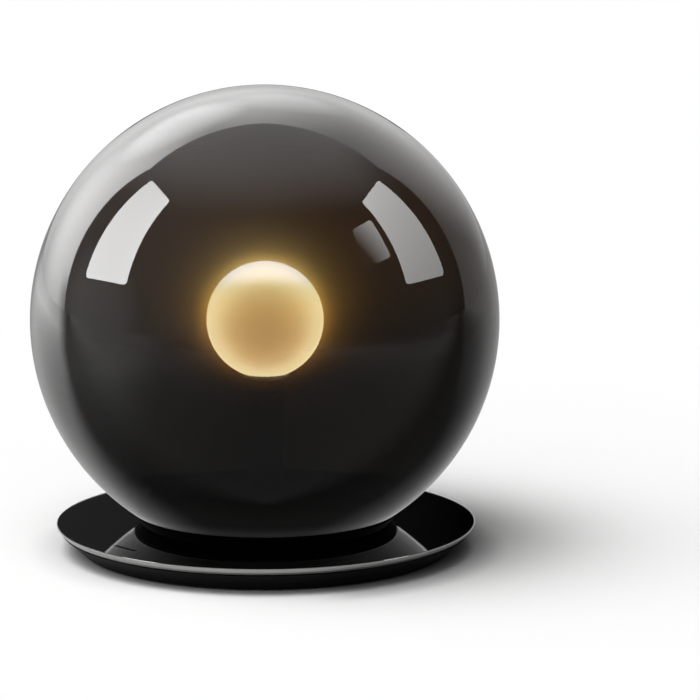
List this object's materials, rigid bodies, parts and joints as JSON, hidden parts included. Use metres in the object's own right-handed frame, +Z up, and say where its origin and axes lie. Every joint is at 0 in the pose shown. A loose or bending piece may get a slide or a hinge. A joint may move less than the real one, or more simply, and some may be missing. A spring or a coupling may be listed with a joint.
{
  "type": "table lamp",
  "caption": "Table lamp with a smoked glass globe on a round gloss black base, a small opal orb glowing at the globe's centre and a slim dimmer key let into the base.",
  "frame": {"origin": "on the table under the middle of the lamp, at the bottom of its rubber feet", "axes": "+Z up, -Y to the front where the picture was taken, +X to the right"},
  "size_m": [0.2, 0.2, 0.1994],
  "materials": {
    "smoked_glass": "polished, dark smoke grey",
    "opal_glass": "satin opal, lit from inside",
    "gloss_black": "mirror gloss with a bright turned edge",
    "satin_black": "satin",
    "black_rubber": "matt",
    "clear_silicone": "matt",
    "zinc_steel": "zinc plated",
    "ballast_iron": "rough",
    "bare_aluminium": "turned",
    "board_green": "solder mask",
    "white_plastic": "matt",
    "phosphor_yellow": "gloss",
    "part_grey": "matt",
    "pale_wire": "matt",
    "red_wire": "matt",
    "key_black": "matt"
  },
  "bodies": {
    "base": {"rubber_feet": "black_rubber", "bottom_cover": "satin_black", "cover_screws": "zinc_steel", "base_pan": "satin_black", "ballast_ring": "ballast_iron", "plate_cushion": "black_rubber", "top_plate": "gloss_black", "collar": "satin_black", "collar_screws": "zinc_steel", "neck_gasket": "black_rubber", "neck_cover": "satin_black", "stem": "satin_black", "stem_washer": "zinc_steel", "stem_nut": "zinc_steel", "heat_sink": "satin_black", "led_board": "white_plastic", "led_chips": "phosphor_yellow", "led_wires": "pale_wire", "wire_grommet": "black_rubber", "control_board": "board_green", "board_screws": "zinc_steel", "push_switch": "part_grey", "board_parts": "part_grey", "board_header": "white_plastic", "terminal_block": "white_plastic", "supply_wires": "red_wire", "cord_gland": "black_rubber"},
    "key": {"dimmer_key": "key_black"},
    "globe": {"globe": "smoked_glass"},
    "orb": {"orb": "opal_glass", "orb_ring": "bare_aluminium", "orb_washer": "clear_silicone"}
  },
  "joints": [
    {"name": "globe_lift", "type": "slide", "parent": "base", "child": "globe", "axis": [0, 0, 1], "range_m": [0, 0.12]},
    {"name": "orb_turn", "type": "hinge", "parent": "base", "child": "orb", "pos_m": [0, 0, 0.09936], "axis": [0, 0, 1], "range_deg": [0, 25]},
    {"name": "key_press", "type": "slide", "parent": "base", "child": "key", "axis": [0, 0, -1], "range_m": [0, 0.0005], "stiffness_N_per_m": 600, "springref_m": -0.001}
  ]
}
